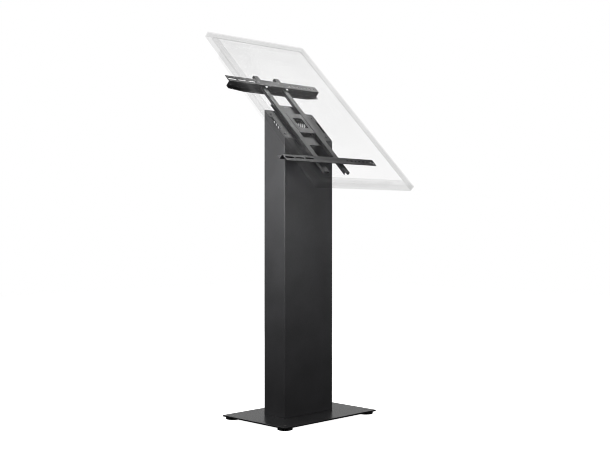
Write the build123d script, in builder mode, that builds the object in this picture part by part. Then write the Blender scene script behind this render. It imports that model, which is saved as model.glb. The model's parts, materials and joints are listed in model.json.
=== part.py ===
from build123d import *
import math
import os

# Touchscreen kiosk: a steel column on a base plate, a bracket on its sloping top, and a portrait
# touch display. Millimetres, +Z up, the user stands on the -Y side, the service door faces +Y.
# The origin is on the floor, under the middle of the whole kiosk.

# ---- driving dimensions -------------------------------------------------------------------------
tilt = 45                       # slope of the column's top and of the display

base_width = 447
base_depth = 309
base_thickness = 5
base_clearance = 8              # floor to the underside of the base plate
base_front_overhang = 112       # base plate in front of the column
foot_inset = 26                 # foot centre to the edges of the base plate
foot_radius = 25
foot_stud_radius = 4.92
foot_thread_radius = 5
foot_well_radius = 10.5         # hollow in the pad around the threaded boss

column_width = 234
column_depth = 102
column_front_height = 948       # above the base plate
sheet = 2
bend_radius = 3                 # outer radius of a folded corner
foot_flange_thickness = 4
foot_boss_depth = 5             # threaded boss under the base plate
foot_floor = 0.8                # skin of the pad under the stud
base_bolt_radius = 4            # M8, countersunk from below
base_bolt_head_radius = 8.2
base_bolt_length = 22
base_bolt_corner = (80, 30)      # from the middle of the column, in x and y
bolt_clearance = 0.5            # hole radius over bolt radius

slope_plate_thickness = 2
slope_slit_x = 109
slope_slit_length = 62
slope_slit_width = 11
slope_slit_middle = 3
cable_window = (84, 76)         # cable opening under the bracket
slope_screw_x = 100
slope_screw_v = 50
slope_screw_radius = 2.5        # M5
slope_screw_length = 8
tab_depth = 20
tab_length = 16
tab_drop = 6

door_width = 186
door_gap = 1
door_bottom = 70                # opening, above the base plate
door_top = 1021
door_return = 10
vent_height = 40
vent_width = 5.2
vent_pitch = 10
vent_count = 17
vent_level = 995
small_screw_hole = 2.7          # clearance for M5
small_screw_head = (4.6, 2.4)   # head radius and height
bolt_radius = 3                 # M6
bolt_hole = 3.2
bolt_head = (5.2, 3.2)

hinge_levels = (160, 860)       # bottoms of the hinges, above the base plate
hinge_knuckle = 20
hinge_barrel_radius = 5
hinge_pin_radius = 2.5
hinge_running_gap = 0.06
hinge_lift = 5.3                # hinge axis outside the rear face
hinge_leaf_thickness = 2.3
hinge_leaf_length = 20
hinge_leaf_step = 0.5           # between the two knuckles of a hinge

lock_x = -78
lock_level = 520
lock_plug_radius = 6
lock_barrel_radius = 9
lock_collar_radius = 12
lock_collar_height = 2.5
lock_running_gap = 0.06
lock_depth = 16
lock_square = 7                 # square end of the plug, inside the cam
lock_key_slot = (1.6, 7)
lock_nut_thickness = 3
cam_thickness = 2
cam_reach = 30
cam_half_width = 7
cam_gap = 0.4
keeper_reach = 16
keeper_height = 34
keeper_foot = 26

grommet_level = 36
grommet_hole_radius = 16
grommet_bore_radius = 10
grommet_lip = 3

equipment_width = 190
equipment_height = 590
equipment_level = 600           # middle of the plate, above the base plate
equipment_gap = 15              # front wall to the plate
player_width = 170
player_height = 170
player_depth = 42
player_level = 780
player_vents = (13, 9, 70, 4)    # count, pitch, length and width
player_ports = (5, 24, 16, 9)    # count, pitch, width and depth
player_button_radius = 6
player_button_height = 3.5
standoff_half_flats = 4
strip_width = 52
strip_height = 250
strip_depth = 38
strip_level = 440
socket_pitch = 66
socket_radius = 19.5
socket_depth = 15
socket_pin_spacing = 19
socket_pin_radius = 2.5

mounting_half_width = 68
mounting_half_length = 105
mounting_bolt_corner = (25, 46)  # from the middle of the slope
mounting_bolt_length = 12
rail_centre = 50                # from the middle of the column
rail_width = 24
rail_length = 500
rail_front = 12.5               # height of the rail's front above the slope
rail_lip = 5
rail_bolt_v = 88                # rail bolts into the mounting plate
bracket_sheet = 2
bracket_bend = 1.1              # middle radius of a folded corner
bolt_reach = 9.5                # length of the rail and bar bolts
square_nut = (14, 16, 5)
bridge_half_length = 51
bridge_window = (42, 52)

bar_length = 438
bar_front = 22                  # height of the bar's front strip above the slope
bar_web = 185                   # from the slope's middle to the bar's web
bar_strip_width = 31
bar_flange_width = 25
bar_slot_length = 39
bar_slot_pitch = 46
bar_slot_width = 7.5
bar_first_slot = -196
bar_hole_radius = 4.5
bar_hole_pitch = 20
bar_first_hole = 81
bar_bolt_v = 172                # rail bolts through the bars' rear flanges
bar_taper_length = 66
bar_taper_depth = 10
bar_corner_cut = (8, 20)        # three-cornered opening at the bottom bar's right end
notch_left_of_rail = 2
notch_right_of_rail = 2.5

display_width = 470
display_height = 768
display_edge_depth = 20
display_front = 79              # height of the display's front face above the slope
display_wall = 3
bezel = 31
housing_width = 408
housing_height = 686
housing_corner = 40
housing_draft = 15
housing_wall = 2
glass_thickness = 4
glass_inset = 6
panel_thickness = 9.5
panel_inset = 16
chassis_thickness = 1.5
vesa_half_width = 100
vesa_half_height = 200
post_radius = 6
post_thread_radius = 3
washer_radius = 8
washer_thickness = 1.6
display_screw_length = 22
board_level = 53.4              # height of the circuit boards above the slope
main_board_corner = (95, 65)     # standoffs, from the middle of each board
power_board_corner = (70, 70)
board_thickness = 1.6
board_screw_radius = 1.6
main_board_middle = 90
power_board_middle = -90
display_button_x = 150
display_button_radius = 4.5
display_button_proud = 1.2
button_gap = 0.3

# ---- places worked out from them ----------------------------------------------------------------
tilt_sin = math.sin(math.radians(tilt))
tilt_cos = math.cos(math.radians(tilt))
tilt_tan = math.tan(math.radians(tilt))
plate_top = base_clearance + base_thickness
display_back = display_front - display_edge_depth
slope_y = (display_front - display_edge_depth / 2) * tilt_sin
slope_z = plate_top + column_front_height + column_depth / 2 * tilt_tan
column_front = slope_y - column_depth / 2
column_rear = slope_y + column_depth / 2
column_height = column_front_height + column_depth * tilt_tan
base_centre_y = column_front - base_front_overhang + base_depth / 2
hinge_x = door_width / 2 + door_gap / 2

# slope: x across, y up the slope, z out of it.
# slope_side: x up the slope, y out of it, seen along X.
# slope_end: x across, y out of the slope, its normal pointing down the slope.
# slope_rear: the slope seen from behind, its normal pointing into the column.
slope = Plane(origin=(0, slope_y, slope_z), x_dir=(1, 0, 0), z_dir=(0, -tilt_sin, tilt_cos))
slope_side = Plane(origin=slope.origin, x_dir=(0, tilt_cos, tilt_sin), z_dir=(1, 0, 0))
slope_end = Plane(origin=slope.origin, x_dir=(1, 0, 0), z_dir=(0, -tilt_cos, -tilt_sin))
slope_rear = Plane(origin=slope.origin, x_dir=(1, 0, 0), z_dir=(0, tilt_sin, -tilt_cos))

# Upright planes, x across and y upwards from the base plate. Both normals point towards the user.
rear_face = Plane(origin=(0, column_rear, plate_top), x_dir=(1, 0, 0), z_dir=(0, -1, 0))
equipment_face = Plane(origin=(0, column_front + 2 * sheet + equipment_gap, plate_top),
                       x_dir=(1, 0, 0), z_dir=(0, -1, 0))

on_base = (Align.CENTER, Align.CENTER, Align.MIN)


def four_corners(half_width, half_height):
    return [(x, v) for x in (-half_width, half_width) for v in (-half_height, half_height)]


foot_places = [(x, base_centre_y + y)
               for x, y in four_corners(base_width / 2 - foot_inset, base_depth / 2 - foot_inset)]
foot_names = ("front_left", "rear_left", "front_right", "rear_right")
base_bolt_places = [(x, slope_y + y) for x, y in four_corners(*base_bolt_corner)]
slope_screw_places = four_corners(slope_screw_x, slope_screw_v)
mounting_bolt_places = four_corners(*mounting_bolt_corner)
rail_bolt_places = four_corners(rail_centre, rail_bolt_v)
bar_bolt_places = four_corners(rail_centre, bar_bolt_v)
vesa_places = four_corners(vesa_half_width, vesa_half_height)
main_board_standoffs = [(x, main_board_middle + v) for x, v in four_corners(*main_board_corner)]
power_board_standoffs = [(x, power_board_middle + v) for x, v in four_corners(*power_board_corner)]


def save(part, name):
    part.label = name
    export_step(part, f"parts/{name}.step")


def nuts(seat, places, half_flats, height, thread_radius):
    """Hexagonal nuts standing on a plane."""
    with BuildPart() as group:
        with BuildSketch(seat):
            with Locations(*places):
                RegularPolygon(half_flats, 6, major_radius=False)
                Circle(thread_radius, mode=Mode.SUBTRACT)
        extrude(amount=height)
    return group.part


def socket_screws(seat, places, shank_radius, shank_length, head_radius, head_height):
    """Round-headed screws with a hexagon socket: heads on the plane, shanks below it."""
    with BuildPart() as group:
        with BuildSketch(seat):
            with Locations(*places):
                Circle(head_radius)
        extrude(amount=head_height)
        rims = group.edges().group_by(Axis(seat.origin, seat.z_dir))[-1]
        fillet(rims, radius=head_height * 0.4)
        with BuildSketch(seat):
            with Locations(*places):
                Circle(shank_radius)
        extrude(amount=-shank_length)
        with BuildSketch(seat.offset(head_height)):
            with Locations(*places):
                RegularPolygon(shank_radius * 0.6, 6)
        extrude(amount=-head_height * 0.6, mode=Mode.SUBTRACT)
    return group.part


def rectangles(sizes_and_places):
    """Rectangles in the sketch being drawn, each given as (width, height, x, y)."""
    for width, height, x, y in sizes_and_places:
        with Locations((x, y)):
            Rectangle(width, height)


os.makedirs("parts", exist_ok=True)

# ---- base ---------------------------------------------------------------------------------------
with BuildPart() as base_plate:
    with BuildSketch(Plane.XY.offset(base_clearance)):
        with Locations((0, base_centre_y)):
            RectangleRounded(base_width, base_depth, 3)
        with Locations(*foot_places):
            Circle(foot_thread_radius, mode=Mode.SUBTRACT)
    extrude(amount=base_thickness)
    top_rim = base_plate.faces().sort_by(Axis.Z)[-1].outer_wire().edges()
    fillet(top_rim, radius=0.8)
    with Locations(*[Plane(origin=(x, y, base_clearance), z_dir=(0, 0, -1)) for x, y in base_bolt_places]):
        CounterSinkHole(base_bolt_radius + bolt_clearance, base_bolt_head_radius, base_thickness, 90)
save(base_plate.part, "base_plate")

with BuildPart() as base_bolts:
    with Locations(*[(x, y, base_clearance) for x, y in base_bolt_places]):
        Cone(base_bolt_head_radius, base_bolt_radius, base_bolt_head_radius - base_bolt_radius, align=on_base)
        Cylinder(base_bolt_radius, base_bolt_length, align=on_base)
    with BuildSketch(Plane.XY.offset(base_clearance)):
        with Locations(*base_bolt_places):
            RegularPolygon(base_bolt_radius * 0.7, 6)
    extrude(amount=base_bolt_radius * 0.6, mode=Mode.SUBTRACT)
save(base_bolts.part, "base_bolts")

with BuildPart() as column_foot_flange:
    with BuildSketch(Plane.XY.offset(plate_top)):
        with Locations((0, slope_y)):
            RectangleRounded(column_width - 2 * sheet, column_depth - 2 * sheet, bend_radius)
        with Locations(*base_bolt_places):
            Circle(base_bolt_radius + bolt_clearance, mode=Mode.SUBTRACT)
    extrude(amount=foot_flange_thickness)
save(column_foot_flange.part, "column_foot_flange")

flange_top = Plane.XY.offset(plate_top + foot_flange_thickness)
save(nuts(flange_top, base_bolt_places, 6.5, 6.5, base_bolt_radius), "base_bolt_nuts")

# The threaded bosses stand in the hollows of the foot pads.
with BuildPart() as foot_bosses:
    with BuildSketch(Plane.XY.offset(base_clearance)):
        with Locations(*foot_places):
            Circle(foot_well_radius - 1.5)
            Circle(foot_thread_radius, mode=Mode.SUBTRACT)
    extrude(amount=-foot_boss_depth)
save(foot_bosses.part, "foot_bosses")

for (foot_x, foot_y), foot_name in zip(foot_places, foot_names):
    with BuildPart(Plane((foot_x, foot_y, 0))) as foot_pad:
        Cylinder(foot_radius, base_clearance - 0.3, align=on_base)
        fillet(foot_pad.edges().sort_by(Axis.Z)[-1], radius=2)
        chamfer(foot_pad.edges().sort_by(Axis.Z)[0], length=1)
        with Locations((0, 0, foot_floor)):
            Cylinder(foot_well_radius, base_clearance, align=on_base, mode=Mode.SUBTRACT)
    save(foot_pad.part, f"foot_pad_{foot_name}")

    with BuildPart(Plane((foot_x, foot_y, 0))) as foot_stud:
        with Locations((0, 0, foot_floor)):
            Cylinder(foot_well_radius, 2 * foot_floor, align=on_base)
            Cylinder(foot_stud_radius, plate_top - foot_floor - 0.5, align=on_base)
    save(foot_stud.part, f"foot_stud_{foot_name}")

# ---- column -------------------------------------------------------------------------------------
# The front and the sides are one folded sheet. Upright and cross strips, welded in between the
# sides at the rear, frame the door opening.
with BuildPart() as column_shell:
    with BuildSketch(Plane.XY.offset(plate_top)):
        with Locations((0, slope_y)):
            RectangleRounded(column_width, column_depth, bend_radius)
            RectangleRounded(column_width - 2 * sheet, column_depth - 2 * sheet, bend_radius - sheet,
                             mode=Mode.SUBTRACT)
        with Locations((0, column_rear - sheet / 2)):
            Rectangle(column_width - 2 * sheet, sheet, mode=Mode.SUBTRACT)
    extrude(amount=column_height)
    split(bisect_by=slope.offset(-slope_plate_thickness), keep=Keep.BOTTOM)
save(column_shell.part, "column_shell")

opening_half = door_width / 2 + door_gap
upright_width = column_width / 2 - sheet - opening_half
with BuildPart() as rear_uprights:
    with BuildSketch(rear_face):
        for side in (-1, 1):
            with Locations((side * (opening_half + upright_width / 2), column_height / 2)):
                Rectangle(upright_width, column_height)
    extrude(amount=sheet)
    split(bisect_by=slope.offset(-slope_plate_thickness), keep=Keep.BOTTOM)
save(rear_uprights.part, "column_rear_uprights")

with BuildPart() as rear_cross_strips:
    with BuildSketch(rear_face):
        with Locations((0, door_bottom / 2)):
            Rectangle(2 * opening_half, door_bottom)
        with Locations((0, (door_top + column_height) / 2)):
            Rectangle(2 * opening_half, column_height - door_top)
        with Locations((0, grommet_level)):
            Circle(grommet_hole_radius, mode=Mode.SUBTRACT)
    extrude(amount=sheet)
    split(bisect_by=slope.offset(-slope_plate_thickness), keep=Keep.BOTTOM)
save(rear_cross_strips.part, "column_rear_cross_strips")

with BuildPart() as slope_plate:
    with BuildSketch(Plane.XY.offset(plate_top)):
        with Locations((0, slope_y)):
            RectangleRounded(column_width, column_depth, bend_radius)
    extrude(amount=column_height)
    split(bisect_by=slope, keep=Keep.BOTTOM)
    split(bisect_by=slope.offset(-slope_plate_thickness), keep=Keep.TOP)
    with BuildSketch(slope):
        RectangleRounded(*cable_window, 6)
        with Locations((-slope_slit_x, slope_slit_middle), (slope_slit_x, slope_slit_middle)):
            Rectangle(slope_slit_width, slope_slit_length)
        with Locations(*slope_screw_places):
            Circle(small_screw_hole)
        with Locations(*mounting_bolt_places):
            Circle(bolt_hole)
    extrude(amount=-slope_plate_thickness, mode=Mode.SUBTRACT)
save(slope_plate.part, "slope_plate")

# Four folded tabs on the side walls carry the slope plate.
wall_x = column_width / 2 - sheet
with BuildPart() as slope_tabs:
    with BuildSketch(slope.offset(-slope_plate_thickness)):
        with Locations(*four_corners(wall_x - tab_depth / 2, slope_screw_v)):
            Rectangle(tab_depth, tab_length)
    extrude(amount=-sheet)
    with BuildSketch(slope.offset(-slope_plate_thickness)):
        with Locations(*four_corners(wall_x - sheet / 2, slope_screw_v)):
            Rectangle(sheet, tab_length)
    extrude(amount=-tab_drop)
    with BuildSketch(slope.offset(-slope_plate_thickness)):
        with Locations(*slope_screw_places):
            Circle(slope_screw_radius)
    extrude(amount=-sheet, mode=Mode.SUBTRACT)
save(slope_tabs.part, "slope_plate_tabs")
save(socket_screws(slope, slope_screw_places, slope_screw_radius, slope_screw_length, *small_screw_head),
     "slope_plate_screws")

# ---- service door -------------------------------------------------------------------------------
door_height = door_top - door_bottom - 2 * door_gap
door_middle = (door_bottom + door_top) / 2
with BuildPart() as service_door:
    with BuildSketch(rear_face):
        with Locations((0, door_middle)):
            RectangleRounded(door_width, door_height, 1)
    extrude(amount=sheet)
    with BuildSketch(rear_face):
        with Locations((0, door_middle)):
            RectangleRounded(door_width, door_height, 1)
            Rectangle(door_width - 2 * sheet, door_height - 2 * sheet, mode=Mode.SUBTRACT)
    extrude(amount=door_return)
    with BuildSketch(rear_face):
        with Locations((0, vent_level)):
            with GridLocations(vent_pitch, 1, vent_count, 1):
                SlotOverall(vent_height, vent_width, rotation=90)
        with Locations((lock_x, lock_level)):
            Circle(lock_barrel_radius)
    extrude(amount=sheet, mode=Mode.SUBTRACT)
save(service_door.part, "service_door")


def hinge_leaf(side, level_shift, bore_radius):
    """Hinge leaves with their knuckles; side is +1 on the column and -1 on the door."""
    with BuildPart() as leaf:
        for level in hinge_levels:
            foot = plate_top + level + level_shift
            with BuildSketch(Plane.XY.offset(foot)):
                with Locations((hinge_x + side * (door_gap / 2 + hinge_leaf_length / 2),
                                column_rear + hinge_leaf_thickness / 2)):
                    Rectangle(hinge_leaf_length, hinge_leaf_thickness)
                with Locations((hinge_x, column_rear + hinge_lift)):
                    Circle(hinge_barrel_radius)
                    Circle(bore_radius, mode=Mode.SUBTRACT)
            extrude(amount=hinge_knuckle)
    return leaf.part


save(hinge_leaf(1, 0, hinge_pin_radius), "hinge_column_leaves")
save(hinge_leaf(-1, hinge_knuckle + hinge_leaf_step, hinge_pin_radius + hinge_running_gap),
     "hinge_door_leaves")

with BuildPart() as hinge_pins:
    with Locations(*[(hinge_x, column_rear + hinge_lift, plate_top + level) for level in hinge_levels]):
        Cylinder(hinge_pin_radius, 2 * hinge_knuckle + hinge_leaf_step, align=on_base)
save(hinge_pins.part, "hinge_pins")

# Cam lock, unlocked: the cam points down. A quarter turn brings it behind the keeper.
lock_place = (lock_x, lock_level)
plug_top = lock_collar_height - 0.2
with BuildPart() as lock_body:
    with BuildSketch(rear_face):
        with Locations(lock_place):
            Circle(lock_collar_radius)
    extrude(amount=-lock_collar_height)
    fillet(lock_body.edges().sort_by(Axis.Y)[-1], radius=0.8)
    with BuildSketch(rear_face):
        with Locations(lock_place):
            Circle(lock_barrel_radius)
    extrude(amount=lock_depth)
    with BuildSketch(rear_face.offset(-lock_collar_height)):
        with Locations(lock_place):
            Circle(lock_plug_radius + lock_running_gap)
    extrude(amount=lock_depth + lock_collar_height, mode=Mode.SUBTRACT)
save(lock_body.part, "lock_body")
lock_nut_seat = rear_face.offset(sheet)
save(nuts(lock_nut_seat, [lock_place], lock_barrel_radius + 2, lock_nut_thickness, lock_barrel_radius),
     "lock_nut")

cam_front = lock_depth + cam_gap
with BuildPart() as lock_plug:
    with BuildSketch(rear_face.offset(-plug_top)):
        with Locations(lock_place):
            Circle(lock_plug_radius)
    extrude(amount=plug_top + cam_front)
    with BuildSketch(rear_face.offset(cam_front)):
        with Locations(lock_place):
            Rectangle(lock_square, lock_square)
    extrude(amount=cam_thickness)
    with BuildSketch(rear_face.offset(-plug_top)):
        with Locations(lock_place):
            Rectangle(*lock_key_slot)
    extrude(amount=lock_depth / 2, mode=Mode.SUBTRACT)
save(lock_plug.part, "lock_plug")

with BuildPart() as lock_cam:
    with BuildSketch(rear_face.offset(cam_front)):
        with Locations(lock_place):
            Circle(lock_barrel_radius)
        with Locations((lock_x, lock_level - (cam_reach - cam_half_width) / 2)):
            Rectangle(2 * cam_half_width, cam_reach - cam_half_width)
        with Locations((lock_x, lock_level - cam_reach + cam_half_width)):
            Circle(cam_half_width)
        with Locations(lock_place):
            Rectangle(lock_square, lock_square, mode=Mode.SUBTRACT)
    extrude(amount=cam_thickness)
save(lock_cam.part, "lock_cam")

keeper_plane = rear_face.offset(lock_depth - sheet)
with BuildPart() as lock_keeper:
    with BuildSketch(keeper_plane):
        with Locations((keeper_reach / 2 - wall_x, lock_level)):
            Rectangle(keeper_reach, keeper_height)
    extrude(amount=sheet)
    with BuildSketch(keeper_plane):
        with Locations((sheet / 2 - wall_x, lock_level)):
            Rectangle(sheet, keeper_height)
    extrude(amount=keeper_foot)
save(lock_keeper.part, "lock_keeper")

grommet_place = (0, grommet_level)
with BuildPart() as cable_grommet:
    with BuildSketch(rear_face.offset(-grommet_lip)):
        with Locations(grommet_place):
            Circle(grommet_hole_radius + grommet_lip + 1)
    extrude(amount=grommet_lip)
    fillet(cable_grommet.edges().sort_by(Axis.Y)[-1], radius=grommet_lip / 2)
    with BuildSketch(rear_face):
        with Locations(grommet_place):
            Circle(grommet_hole_radius)
    extrude(amount=sheet)
    with BuildSketch(rear_face.offset(sheet)):
        with Locations(grommet_place):
            Circle(grommet_hole_radius + grommet_lip)
    extrude(amount=grommet_lip)
    with BuildSketch(rear_face.offset(-grommet_lip)):
        with Locations(grommet_place):
            Circle(grommet_bore_radius)
    extrude(amount=sheet + 2 * grommet_lip, mode=Mode.SUBTRACT)
save(cable_grommet.part, "cable_grommet")

# ---- equipment inside the column ----------------------------------------------------------------
standoff_places = [(x, equipment_level + z) for x in (-85, 85) for z in (-275, 0, 275)]
with BuildPart() as equipment_plate:
    with BuildSketch(equipment_face):
        with Locations((0, equipment_level)):
            RectangleRounded(equipment_width, equipment_height, 4)
        with Locations(*standoff_places):
            Circle(small_screw_hole, mode=Mode.SUBTRACT)
        with Locations((0, equipment_level + 20)):
            SlotOverall(90, 14, mode=Mode.SUBTRACT)
    extrude(amount=sheet)
save(equipment_plate.part, "equipment_plate")

with BuildPart() as equipment_standoffs:
    with BuildSketch(equipment_face.offset(sheet)):
        with Locations(*standoff_places):
            RegularPolygon(standoff_half_flats, 6, major_radius=False)
            Circle(slope_screw_radius, mode=Mode.SUBTRACT)
    extrude(amount=equipment_gap)
save(equipment_standoffs.part, "equipment_standoffs")

# The plate's door side is where everything is screwed on.
door_side = Plane(origin=equipment_face.origin, x_dir=(-1, 0, 0), z_dir=(0, 1, 0))
save(socket_screws(door_side, standoff_places, slope_screw_radius, 12, *small_screw_head), "equipment_screws")

player_button_place = (60, player_level - 60)
player_button_seat = player_depth - player_button_height + 1
with BuildPart() as media_player:
    with BuildSketch(door_side):
        with Locations((0, player_level)):
            RectangleRounded(player_width, player_height, 8)
    extrude(amount=player_depth)
    fillet(media_player.faces().sort_by(Axis.Y)[-1].outer_wire().edges(), radius=2)
    with BuildSketch(door_side.offset(player_depth)):
        with Locations(player_button_place):
            Circle(player_button_radius + button_gap)
    extrude(amount=-player_button_height - 0.5, mode=Mode.SUBTRACT)
    with BuildSketch(door_side.offset(player_depth)):
        with Locations((0, player_level + 30)):
            with GridLocations(player_vents[1], 1, player_vents[0], 1):
                SlotOverall(*player_vents[2:], rotation=90)
    extrude(amount=-1.5, mode=Mode.SUBTRACT)
    with BuildSketch(Plane.XY.offset(plate_top + player_level - player_height / 2)):
        with Locations((0, column_front + 2 * sheet + equipment_gap + player_depth / 2)):
            with GridLocations(player_ports[1], 1, player_ports[0], 1):
                Rectangle(*player_ports[2:])
    extrude(amount=10, mode=Mode.SUBTRACT)
save(media_player.part, "media_player")

with BuildPart() as player_button:
    with BuildSketch(door_side.offset(player_button_seat)):
        with Locations(player_button_place):
            Circle(player_button_radius)
    extrude(amount=player_button_height)
    fillet(player_button.edges().sort_by(Axis.Y)[-1], radius=0.6)
save(player_button.part, "player_power_button")

socket_levels = [strip_level + i * socket_pitch for i in (-1, 0, 1)]
with BuildPart() as power_strip:
    with BuildSketch(door_side):
        with Locations((0, strip_level)):
            RectangleRounded(strip_width, strip_height, 10)
    extrude(amount=strip_depth)
    fillet(power_strip.faces().sort_by(Axis.Y)[-1].outer_wire().edges(), radius=3)
    with BuildSketch(door_side.offset(strip_depth)):
        with Locations(*[(0, level) for level in socket_levels]):
            Circle(socket_radius)
    extrude(amount=-socket_depth, mode=Mode.SUBTRACT)
    with BuildSketch(door_side.offset(strip_depth - socket_depth)):
        with Locations(*[(0, level) for level in socket_levels]):
            with GridLocations(socket_pin_spacing, 1, 2, 1):
                Circle(socket_pin_radius)
    extrude(amount=-12, mode=Mode.SUBTRACT)
save(power_strip.part, "power_strip")

# ---- bracket ------------------------------------------------------------------------------------
with BuildPart() as mounting_plate:
    with BuildSketch(slope):
        RectangleRounded(2 * mounting_half_width, 2 * mounting_half_length, 6)
        RectangleRounded(cable_window[0] - 10, cable_window[1], 4, mode=Mode.SUBTRACT)
        with Locations(*mounting_bolt_places, *rail_bolt_places):
            Circle(bolt_hole, mode=Mode.SUBTRACT)
    extrude(amount=bracket_sheet)
save(mounting_plate.part, "mounting_plate")
save(socket_screws(slope.offset(bracket_sheet), mounting_bolt_places, bolt_radius, mounting_bolt_length,
                   *bolt_head), "mounting_bolts")
save(nuts(slope_rear.offset(slope_plate_thickness), mounting_bolt_places, 5, 5, bolt_radius), "mounting_nuts")

rail_middle = rail_front - bracket_sheet / 2
rail_wall = rail_width / 2 - bracket_sheet / 2
for rail_name, rail_x in (("rail_left", -rail_centre), ("rail_right", rail_centre)):
    with BuildPart() as rail:
        with BuildSketch(slope_end.offset(-rail_length / 2)):
            with BuildLine():
                FilletPolyline(
                    (rail_x - rail_wall + rail_lip, 1.5 * bracket_sheet),
                    (rail_x - rail_wall, 1.5 * bracket_sheet),
                    (rail_x - rail_wall, rail_middle),
                    (rail_x + rail_wall, rail_middle),
                    (rail_x + rail_wall, 1.5 * bracket_sheet),
                    (rail_x + rail_wall - rail_lip, 1.5 * bracket_sheet),
                    radius=bracket_bend,
                )
            trace(line_width=bracket_sheet)
        extrude(amount=rail_length)
    save(rail.part, rail_name)

bridge_wall = rail_centre - rail_width / 2 - bracket_sheet / 2
with BuildPart() as bridge_plate:
    with BuildSketch(slope_end.offset(-bridge_half_length)):
        with BuildLine():
            FilletPolyline((-bridge_wall, bracket_sheet), (-bridge_wall, rail_middle),
                           (bridge_wall, rail_middle), (bridge_wall, bracket_sheet), radius=bracket_bend)
        trace(line_width=bracket_sheet)
    extrude(amount=2 * bridge_half_length)
    with BuildSketch(slope.offset(rail_front)):
        RectangleRounded(*bridge_window, 2)
    extrude(amount=-2 * bracket_sheet, mode=Mode.SUBTRACT)
save(bridge_plate.part, "bridge_plate")

# Rail bolts come from behind the mounting plate into square nuts held in the rails.
nut_level = 2 * bracket_sheet
save(socket_screws(slope_rear, rail_bolt_places, bolt_radius, bolt_reach, *bolt_head), "rail_bolts")
save(socket_screws(slope_rear, bar_bolt_places, bolt_radius, bolt_reach, *bolt_head), "bar_bolts")
for nut_name, nut_places in (("rail_nuts", rail_bolt_places), ("bar_nuts", bar_bolt_places)):
    with BuildPart() as rail_nuts:
        with BuildSketch(slope.offset(nut_level)):
            with Locations(*nut_places):
                Rectangle(*square_nut[:2])
                Circle(bolt_radius, mode=Mode.SUBTRACT)
        extrude(amount=square_nut[2])
    save(rail_nuts.part, nut_name)


def cross_bar(way):
    """Z-shaped bar; way is +1 for the top bar and -1 for its mirror image below."""
    web_middle = way * (bar_web + bracket_sheet / 2)
    flange_end = way * (bar_web + bracket_sheet - bar_flange_width)
    with BuildPart() as bar:
        with BuildSketch(slope_side.offset(-bar_length / 2)):
            with BuildLine():
                FilletPolyline((way * (bar_web + bar_strip_width), bar_front - bracket_sheet / 2),
                               (web_middle, bar_front - bracket_sheet / 2),
                               (web_middle, bracket_sheet / 2),
                               (flange_end, bracket_sheet / 2), radius=bracket_bend)
            trace(line_width=bracket_sheet)
        extrude(amount=bar_length)
        # Front strip: slots on the left, round holes on the right.
        with BuildSketch(slope.offset(bar_front)):
            for i in range(3):
                with Locations((bar_first_slot + i * bar_slot_pitch, way * vesa_half_height)):
                    SlotOverall(bar_slot_length, bar_slot_width)
            for i in range(7):
                with Locations((bar_first_hole + i * bar_hole_pitch, way * vesa_half_height)):
                    Circle(bar_hole_radius)
        extrude(amount=-bracket_sheet, mode=Mode.SUBTRACT)
        # Notches for the rails, cut from the front strip's back to the rear flange.
        with BuildSketch(slope.offset(bar_front - bracket_sheet)):
            for rail_x in (-rail_centre, rail_centre):
                left = rail_x - rail_width / 2 - notch_left_of_rail
                right = rail_x + rail_width / 2 + notch_right_of_rail
                with Locations(((left + right) / 2, web_middle)):
                    Rectangle(right - left, 3 * bracket_sheet)
        extrude(amount=2 * bracket_sheet - bar_front, mode=Mode.SUBTRACT)
        # Rear flange: tapered towards both ends, with a hole behind each rail.
        with BuildSketch(slope):
            for side in (-1, 1):
                with BuildLine():
                    Polyline((side * (bar_length / 2 - bar_taper_length), flange_end),
                             (side * bar_length / 2, flange_end + way * bar_taper_depth),
                             (side * bar_length / 2, flange_end),
                             close=True)
                make_face()
            with Locations((-rail_centre, way * bar_bolt_v), (rail_centre, way * bar_bolt_v)):
                Circle(bolt_hole)
        extrude(amount=bracket_sheet, mode=Mode.SUBTRACT)
    return bar.part


save(cross_bar(1), "top_bar")

cut_width, cut_height = bar_corner_cut
cut_right = bar_length / 2 - bracket_sheet
cut_top = bracket_sheet + bracket_bend - bar_web - bar_strip_width / 4
with BuildPart() as bottom_bar:
    add(cross_bar(-1))
    with BuildSketch(slope.offset(bar_front)):
        with BuildLine():
            Polyline((cut_right - cut_width, cut_top), (cut_right, cut_top - cut_height),
                     (cut_right - cut_width, cut_top - cut_height), close=True)
        make_face()
    extrude(amount=-bracket_sheet, mode=Mode.SUBTRACT)
save(bottom_bar.part, "bottom_bar")

# ---- display ------------------------------------------------------------------------------------
inner_width = display_width - 2 * display_wall
inner_height = display_height - 2 * display_wall
display_button_level = display_front - display_edge_depth / 2
bottom_edge = Plane(origin=slope_end.origin - slope.y_dir * display_height / 2, x_dir=(1, 0, 0),
                    z_dir=slope_end.z_dir)

with BuildPart() as display_frame:
    with BuildSketch(slope.offset(display_back)):
        RectangleRounded(display_width, display_height, 5)
        RectangleRounded(inner_width, inner_height, 2, mode=Mode.SUBTRACT)
    extrude(amount=display_edge_depth)
    with BuildSketch(slope.offset(display_front - display_wall)):
        RectangleRounded(inner_width, inner_height, 2)
        Rectangle(display_width - 2 * bezel, display_height - 2 * bezel, mode=Mode.SUBTRACT)
    extrude(amount=display_wall)
    front_rim = display_frame.faces().filter_by(slope).sort_by(Axis(slope.origin, slope.z_dir))[-1]
    fillet(front_rim.outer_wire().edges(), radius=1.2)
    with BuildSketch(bottom_edge):
        with Locations((display_button_x, display_button_level)):
            Circle(display_button_radius + button_gap)
    extrude(amount=-display_wall, mode=Mode.SUBTRACT)
save(display_frame.part, "display_frame")

with BuildPart() as touch_glass:
    with BuildSketch(slope.offset(display_front - display_wall - glass_thickness)):
        RectangleRounded(inner_width - 2 * glass_inset, inner_height - 2 * glass_inset, 3)
    extrude(amount=glass_thickness)
save(touch_glass.part, "touch_glass")

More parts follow.
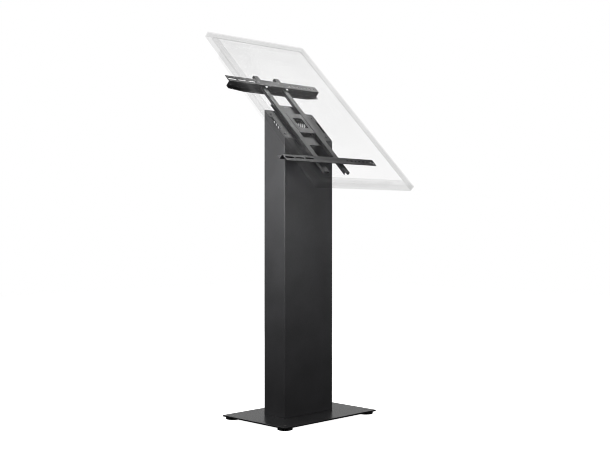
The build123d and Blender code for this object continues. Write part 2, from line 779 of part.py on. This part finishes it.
panel_back = display_front - display_wall - glass_thickness - panel_thickness
with BuildPart() as lcd_panel:
    with BuildSketch(slope.offset(panel_back)):
        RectangleRounded(inner_width - 2 * panel_inset, inner_height - 2 * panel_inset, 2)
    extrude(amount=panel_thickness)
save(lcd_panel.part, "lcd_panel")

chassis_back = panel_back - chassis_thickness
with BuildPart() as display_chassis:
    with BuildSketch(slope.offset(chassis_back)):
        RectangleRounded(inner_width - 36, inner_height - 60, 6)
        with Locations((0, 300), (0, -300)):
            SlotOverall(160, 20, mode=Mode.SUBTRACT)
    extrude(amount=chassis_thickness)
save(display_chassis.part, "display_chassis")

flange_thickness = chassis_back - display_back
hollow = (housing_width - 2 * housing_wall, housing_height - 2 * housing_wall,
          housing_corner - housing_wall)
with BuildPart() as display_rear_cover:
    with BuildSketch(slope.offset(display_back)):
        RectangleRounded(inner_width - 0.4, inner_height - 0.4, 2)
    extrude(amount=flange_thickness)
    with BuildSketch(slope.offset(display_back)):
        RectangleRounded(housing_width, housing_height, housing_corner)
    extrude(amount=bar_front - display_back, taper=housing_draft)
    with BuildSketch(slope.offset(chassis_back)):
        RectangleRounded(*hollow)
    extrude(amount=-flange_thickness, mode=Mode.SUBTRACT)
    with BuildSketch(slope.offset(display_back)):
        RectangleRounded(*hollow)
    extrude(amount=bar_front + housing_wall - display_back, taper=housing_draft, mode=Mode.SUBTRACT)
    with BuildSketch(slope.offset(bar_front)):
        with Locations(*vesa_places):
            Circle(post_thread_radius + bolt_clearance)
        for row in (-150, 150):
            with Locations((0, row)):
                with GridLocations(9, 1, 20, 1):
                    SlotOverall(40, 3.5, rotation=90)
    extrude(amount=housing_wall, mode=Mode.SUBTRACT)
save(display_rear_cover.part, "display_rear_cover")

with BuildPart() as display_posts:
    with BuildSketch(slope.offset(bar_front + housing_wall)):
        with Locations(*vesa_places):
            Circle(post_radius)
            Circle(post_thread_radius, mode=Mode.SUBTRACT)
    extrude(amount=chassis_back - bar_front - housing_wall)
save(display_posts.part, "display_posts")

# The display's screws come from behind the bars, each on a washer.
bar_back = bar_front - bracket_sheet
with BuildPart() as display_washers:
    with BuildSketch(slope.offset(bar_back - washer_thickness)):
        with Locations(*vesa_places):
            Circle(washer_radius)
            Circle(post_thread_radius, mode=Mode.SUBTRACT)
    extrude(amount=washer_thickness)
save(display_washers.part, "display_washers")
display_screw_seat = slope_rear.offset(washer_thickness - bar_back)
save(socket_screws(display_screw_seat, vesa_places, post_thread_radius, display_screw_length, *bolt_head),
     "display_screws")


def circuit_board(size, middle, screw_places):
    """The bare board of the part being built."""
    with BuildSketch(slope.offset(board_level)) as outline:
        with Locations((0, middle)):
            RectangleRounded(*size, 3)
        with Locations(*screw_places):
            Circle(board_screw_radius, mode=Mode.SUBTRACT)
    return outline.sketch


board_top = board_level + board_thickness
with BuildPart() as main_board:
    extrude(circuit_board((210, 150), main_board_middle, main_board_standoffs), amount=board_thickness)
    with BuildSketch(slope.offset(board_level)):
        rectangles([(44, 44, -20, 100), (22, 14, 60, 60), (18, 12, 60, 130)])
        rectangles([(16, 12, x, 24) for x in (-60, -35, -10, 15)])
    extrude(amount=-7)
save(main_board.part, "main_board")

with BuildPart() as power_board:
    extrude(circuit_board((160, 160), power_board_middle, power_board_standoffs), amount=board_thickness)
    with BuildSketch(slope.offset(board_level)):
        rectangles([(46, 38, -20, -80), (30, 24, 40, -120), (60, 8, 10, -40)])
    extrude(amount=-18)
    with BuildSketch(slope.offset(board_level)):
        with Locations((-50, -125), (-28, -128), (-50, -100)):
            Circle(8)
    extrude(amount=-20)
save(power_board.part, "power_board")

with BuildPart() as board_standoffs:
    with BuildSketch(slope.offset(board_top)):
        with Locations(*main_board_standoffs, *power_board_standoffs):
            Circle(3)
    extrude(amount=chassis_back - board_top)
save(board_standoffs.part, "board_standoffs")

with BuildPart() as display_button:
    with BuildSketch(bottom_edge.offset(display_button_proud)):
        with Locations((display_button_x, display_button_level)):
            Circle(display_button_radius)
    extrude(amount=-display_button_proud - display_wall - button_gap)
    with BuildSketch(bottom_edge.offset(-display_wall - button_gap)):
        with Locations((display_button_x, display_button_level)):
            Circle(display_button_radius + 1)
    extrude(amount=-display_button_proud)
save(display_button.part, "display_power_button")
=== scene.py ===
import json
import math

import bpy
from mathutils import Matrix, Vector


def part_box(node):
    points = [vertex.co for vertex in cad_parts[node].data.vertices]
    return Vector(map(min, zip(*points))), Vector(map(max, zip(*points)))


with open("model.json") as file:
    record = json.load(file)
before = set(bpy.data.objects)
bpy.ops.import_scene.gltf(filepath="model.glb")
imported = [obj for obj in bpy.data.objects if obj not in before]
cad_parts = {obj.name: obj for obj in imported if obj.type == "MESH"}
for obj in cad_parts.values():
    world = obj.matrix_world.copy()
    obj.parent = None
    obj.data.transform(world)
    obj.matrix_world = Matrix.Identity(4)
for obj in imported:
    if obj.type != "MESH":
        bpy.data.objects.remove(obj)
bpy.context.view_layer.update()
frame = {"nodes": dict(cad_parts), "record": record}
nodes = frame["nodes"]
scene = bpy.context.scene
scene.view_settings.view_transform = "Standard"
scene.cycles.transparent_max_bounces = 64
scene.cycles.filter_width = 1.0

# Linear colours of the finishes
WHITE = (1, 1, 1, 1)
FLOOR_PAINT = (0.9, 0.9, 0.9, 1)
COLUMN_BLACK = (0.033, 0.033, 0.035)
BASE_BLACK = (0.018, 0.018, 0.019)
BRACKET_BLACK = (0.02, 0.02, 0.021)
# painted shade: the black put on faces inside the column, standing in for the shade there
UNLIT_BLACK = (0.003, 0.003, 0.003)
GHOST_DARK = (0.015, 0.015, 0.016)
GHOST_LIGHT = (0.025, 0.025, 0.026)

# The display leans back by 45 degrees, so up its face is as much +Y as +Z
UP_THE_DISPLAY = (0, math.sqrt(0.5), math.sqrt(0.5))
INTO_THE_COLUMN = (0, -1, 0)


# What each finish is made with; the names are the record's material slots and a few finishes more
POWDER_COATS = {
    # the edge gain sets how much paler the painted highlight along the edges is
    "powder_coat": dict(tone=COLUMN_BLACK, rough_low=0.42, rough_high=0.55, edge_radius=0.0012, edge_highlight_gain=1.5),
    # the rear parts' coat, with painted shade on the faces that look into the column
    "rear_coat": dict(tone=COLUMN_BLACK, rough_low=0.42, rough_high=0.55, edge_radius=0.0012, edge_highlight_gain=1.5,
                      painted_shade_side=INTO_THE_COLUMN),
    "base_coat": dict(tone=BASE_BLACK, rough_low=0.28, rough_high=0.38, edge_radius=0.001, edge_highlight_gain=1.5),
    "bracket_coat": dict(tone=BRACKET_BLACK, rough_low=0.36, rough_high=0.46, edge_radius=0.0018, edge_highlight_gain=5),
}
METALS = {
    "zinc_steel": dict(tone=(0.62, 0.61, 0.58), roughness=0.35),
    "black_screw": dict(tone=(0.06, 0.06, 0.065), roughness=0.4),
    "lock_chrome": dict(tone=(0.75, 0.75, 0.76), roughness=0.15),
}
PLASTICS = {
    "foot_plastic": dict(tone=(0.02, 0.02, 0.021), roughness=0.4, grain=900, depth=0.0002),
    "grommet_rubber": dict(tone=(0.025, 0.025, 0.025), roughness=0.6, grain=700, depth=0.0002),
    "player_case": dict(tone=(0.035, 0.035, 0.038), roughness=0.45, grain=1500, depth=0.0001),
    "strip_plastic": dict(tone=(0.6, 0.6, 0.58), roughness=0.4, grain=1200, depth=0.0001),
}
GHOSTS = {
    "display_bezel": dict(cover_low=0.14, cover_high=0.08, end=0.05),
    "display_housing": dict(cover_low=0.016, cover_high=0.024),
    "display_glass": dict(cover_low=0.008, cover_high=0.02, roughness=0.05),
    "display_panel": dict(cover_low=0.006, cover_high=0.09, start=0.2),
    "display_button": dict(cover_low=0.02, cover_high=0.02),
    "display_metal": dict(cover_low=0.003, cover_high=0.006),
    "display_board": dict(cover_low=0.003, cover_high=0.006),
}


# ---- camera, lights, floor ----------------------------------------------------------------------
def make_camera():
    """Eye-level view from the front left corner of the kiosk."""
    data = bpy.data.cameras.new("camera")
    data.sensor_width = 36
    data.lens = 59.37
    data.shift_x = -0.0016
    data.shift_y = -0.003
    data.clip_end = 50
    camera = bpy.data.objects.new("camera", data)
    camera.location = (-2.465, -2.452, 0.672)
    camera.rotation_euler = (math.radians(90), 0, math.radians(-45))
    scene.collection.objects.link(camera)
    scene.camera = camera


def soft_box(name, place, target, width, height, power):
    data = bpy.data.lights.new(name, "AREA")
    data.shape = "RECTANGLE"
    data.size = width
    data.size_y = height
    data.energy = power
    lamp = bpy.data.objects.new(name, data)
    lamp.location = place
    lamp.rotation_euler = (Vector(target) - Vector(place)).to_track_quat("-Z", "Y").to_euler()
    lamp.visible_camera = False
    scene.collection.objects.link(lamp)


def make_studio():
    """A white backdrop that gives no light, and soft boxes."""
    world = bpy.data.worlds.new("white_studio")
    world.use_nodes = True
    backdrop = world.node_tree.nodes["Background"]
    backdrop.inputs["Color"].default_value = WHITE
    backdrop.inputs["Strength"].default_value = 1.0
    world.cycles_visibility.diffuse = False
    world.cycles_visibility.glossy = False
    scene.world = world
    # close to the left and front faces, so that both fade towards the floor
    soft_box("left_light", place=(-0.83, 0.05, 0.88), target=(0, 0.05, 0.88),
             width=0.4, height=0.4, power=9)
    soft_box("front_light", place=(0.1, -0.93, 0.82), target=(0.1, 0, 0.82),
             width=0.5, height=0.5, power=7)
    soft_box("fill_light", place=(-2.5, -2.5, 2.5), target=(0, 0, 0.6),
             width=2.0, height=2.0, power=10)
    # mirrored to the camera by the sloping bracket and by the base plate
    soft_box("slope_light", place=(1.6, 0.35, 2.9), target=(0, 0.15, 1.15),
             width=0.7, height=0.7, power=14)
    soft_box("back_panel", place=(1.9, 1.9, 0.6), target=(0, 0, 0.05),
             width=2.0, height=0.7, power=4)
    soft_box("rear_light", place=(-0.6, 2.2, 1.6), target=(0, 0, 0.8),
             width=1.2, height=1.2, power=22)


def make_floor():
    """A plain floor, as white as the backdrop."""
    half = 6.0
    corners = [(-half, -half, 0), (half, -half, 0), (half, half, 0), (-half, half, 0)]
    mesh = bpy.data.meshes.new("floor")
    mesh.from_pydata(corners, [], [(0, 1, 2, 3)])
    floor = bpy.data.objects.new("floor", mesh)
    scene.collection.objects.link(floor)
    material, _, shader = new_material("floor_white", 0.9)
    shader.inputs["Base Color"].default_value = FLOOR_PAINT
    shader.inputs["Emission Color"].default_value = WHITE
    shader.inputs["Emission Strength"].default_value = 1.0
    mesh.materials.append(material)
    floor.visible_diffuse = False
    floor.visible_glossy = False


# ---- materials ----------------------------------------------------------------------------------
def new_material(name, roughness, metallic=0.0):
    material = bpy.data.materials.new(name)
    material.use_nodes = True
    shader = material.node_tree.nodes["Principled BSDF"]
    shader.inputs["Roughness"].default_value = roughness
    shader.inputs["Metallic"].default_value = metallic
    return material, material.node_tree, shader


def noise(tree, scale, detail):
    """Noise in the object's own coordinates, scale in cycles per metre."""
    place = tree.nodes.new("ShaderNodeTexCoord")
    texture = tree.nodes.new("ShaderNodeTexNoise")
    texture.inputs["Scale"].default_value = scale
    texture.inputs["Detail"].default_value = detail
    tree.links.new(place.outputs["Object"], texture.inputs["Vector"])
    return texture.outputs["Fac"]


def spread(tree, value, low, high, source_low=0.35, source_high=0.65):
    """Maps a value from one range to another; the first range fits noise when it is left out."""
    node = tree.nodes.new("ShaderNodeMapRange")
    node.inputs["From Min"].default_value = source_low
    node.inputs["From Max"].default_value = source_high
    node.inputs["To Min"].default_value = low
    node.inputs["To Max"].default_value = high
    tree.links.new(value, node.inputs["Value"])
    return node.outputs["Result"]


def colour_between(tree, factor, first, second):
    node = tree.nodes.new("ShaderNodeMix")
    node.data_type = "RGBA"
    tree.links.new(factor, node.inputs["Factor"])
    node.inputs["A"].default_value = (*first, 1)
    node.inputs["B"].default_value = (*second, 1)
    return node.outputs["Result"]


def colour_to(tree, factor, colour, target):
    """Turns a linked colour into a fixed one by a factor."""
    node = tree.nodes.new("ShaderNodeMix")
    node.data_type = "RGBA"
    tree.links.new(factor, node.inputs["Factor"])
    tree.links.new(colour, node.inputs["A"])
    node.inputs["B"].default_value = (*target, 1)
    return node.outputs["Result"]


def product(tree, first, second):
    node = tree.nodes.new("ShaderNodeMath")
    node.operation = "MULTIPLY"
    tree.links.new(first, node.inputs[0])
    tree.links.new(second, node.inputs[1])
    return node.outputs["Value"]


def dot_product(tree, vector):
    """A dot product with one linked side; the other side is set or linked by the caller."""
    node = tree.nodes.new("ShaderNodeVectorMath")
    node.operation = "DOT_PRODUCT"
    tree.links.new(vector, node.inputs[0])
    return node


def along(tree, direction, start, end, low, high):
    """A value that runs from low to high along a direction of the object, between two distances."""
    place = tree.nodes.new("ShaderNodeTexCoord")
    distance = dot_product(tree, place.outputs["Object"])
    distance.inputs[1].default_value = direction
    return spread(tree, distance.outputs["Value"], low, high, start, end)


def facing(tree, direction):
    """How squarely a face looks along a direction of the object (0 to 1)."""
    place = tree.nodes.new("ShaderNodeTexCoord")
    likeness = dot_product(tree, place.outputs["Normal"])
    likeness.inputs[1].default_value = direction
    return spread(tree, likeness.outputs["Value"], 0, 1, 0.3, 0.8)


def rounded_edges(tree, radius):
    """Normals that turn softly round every edge, and how near a point is to an edge (0 to 1)."""
    soft = tree.nodes.new("ShaderNodeBevel")
    soft.samples = 6
    soft.inputs["Radius"].default_value = radius
    flat = tree.nodes.new("ShaderNodeNewGeometry")
    likeness = dot_product(tree, soft.outputs["Normal"])
    tree.links.new(flat.outputs["Normal"], likeness.inputs[1])
    return soft.outputs["Normal"], spread(tree, likeness.outputs["Value"], 1, 0, 0.8, 0.99)


def bump(tree, shader, height, strength, distance, normal=None):
    node = tree.nodes.new("ShaderNodeBump")
    node.inputs["Strength"].default_value = strength
    node.inputs["Distance"].default_value = distance
    tree.links.new(height, node.inputs["Height"])
    if normal:
        tree.links.new(normal, node.inputs["Normal"])
    tree.links.new(node.outputs["Normal"], shader.inputs["Normal"])


def shade(colour, gain):
    return tuple(gain * part for part in colour)


def powder_coat(name, tone, rough_low, rough_high, edge_radius, edge_highlight_gain, painted_shade_side=None):
    """Matt black powder coat: fine orange-peel grain, slow changes of tone and gloss, and a painted highlight
    along every edge.
    Faces that look towards the given side are painted dead black as shade, standing in for the unlit inside of
    the column."""
    material, tree, shader = new_material(name, rough_high)
    normal, edge = rounded_edges(tree, edge_radius)
    cloudy = colour_between(tree, spread(tree, noise(tree, 9, 4), 0, 1), shade(tone, 0.86), shade(tone, 1.14))
    # painted highlight: the coat is made paler near every edge, broken up by noise, standing in for the light
    # that the edges catch
    painted_edge_highlight = product(tree, edge, spread(tree, noise(tree, 70, 3), 0.4, 1))
    coat = colour_to(tree, painted_edge_highlight, cloudy, shade(tone, edge_highlight_gain))
    if painted_shade_side:
        # painted shade: faces that look into the column are turned black
        coat = colour_to(tree, facing(tree, painted_shade_side), coat, UNLIT_BLACK)
    tree.links.new(coat, shader.inputs["Base Color"])
    gloss = spread(tree, noise(tree, 240, 3), rough_low, rough_high)
    tree.links.new(gloss, shader.inputs["Roughness"])
    bump(tree, shader, noise(tree, 1300, 2), strength=0.25, distance=0.0002, normal=normal)
    return material


def metal(name, tone, roughness):
    """Bare or plated metal with a fine, uneven grain."""
    material, tree, shader = new_material(name, roughness, metallic=1.0)
    cloudy = colour_between(tree, spread(tree, noise(tree, 60, 5), 0, 1), shade(tone, 0.88), tone)
    tree.links.new(cloudy, shader.inputs["Base Color"])
    gloss = spread(tree, noise(tree, 500, 3), roughness * 0.8, roughness * 1.25)
    tree.links.new(gloss, shader.inputs["Roughness"])
    bump(tree, shader, noise(tree, 900, 3), strength=0.15, distance=0.0001)
    return material


def plastic(name, tone, roughness, grain, depth):
    """Moulded plastic or rubber with an even grain."""
    material, tree, shader = new_material(name, roughness)
    cloudy = colour_between(tree, spread(tree, noise(tree, 30, 4), 0, 1), shade(tone, 0.9), tone)
    tree.links.new(cloudy, shader.inputs["Base Color"])
    gloss = spread(tree, noise(tree, grain * 0.4, 3), roughness * 0.85, roughness * 1.15)
    tree.links.new(gloss, shader.inputs["Roughness"])
    bump(tree, shader, noise(tree, grain, 2), strength=0.3, distance=depth)
    return material


def see_through(name, cover_low, cover_high, roughness=0.3, start=0.0, end=1.0):
    """A ghosted piece: a faint grey tint that lets everything behind it show. Its cover changes
    between two heights, given as fractions of the way up the display."""
    material, tree, shader = new_material(name, roughness)
    shader.inputs["Specular IOR Level"].default_value = 0.1
    tint = colour_between(tree, noise(tree, 4, 2), GHOST_DARK, GHOST_LIGHT)
    tree.links.new(tint, shader.inputs["Base Color"])
    low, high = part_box("display_frame")
    bottom = Vector(low).dot(UP_THE_DISPLAY)
    height = Vector(high).dot(UP_THE_DISPLAY) - bottom
    cover = along(tree, UP_THE_DISPLAY, bottom + start * height, bottom + end * height,
                  cover_low, cover_high)
    uneven = spread(tree, noise(tree, 3.5, 1), 0.85, 1.15)
    tree.links.new(product(tree, cover, uneven), shader.inputs["Alpha"])
    return material


def make_materials():
    """Every finish, by the name of the record's material slot or of a finish of its own."""
    recipes = ((powder_coat, POWDER_COATS), (metal, METALS), (plastic, PLASTICS), (see_through, GHOSTS))
    return {name: recipe(name, **look) for recipe, looks in recipes for name, look in looks.items()}


def dress_nodes(materials):
    """Gives every CAD node its slot's material, or a finish of its own where the photo shows one; the rear
    parts get the coat with painted shade on their faces inside the column.
    """
    own_finish = {
        "base_plate": "base_coat",
        "display_power_button": "display_button",
        "service_door": "rear_coat",
        "column_rear_uprights": "rear_coat",
        "column_rear_cross_strips": "rear_coat",
    }
    for subpart in frame["record"]["subparts"]:
        node = subpart["node"]
        mesh = nodes[node].data
        mesh.materials.clear()
        mesh.materials.append(materials[own_finish.get(node, subpart["material_slot"])])


make_camera()
make_studio()
make_floor()
dress_nodes(make_materials())
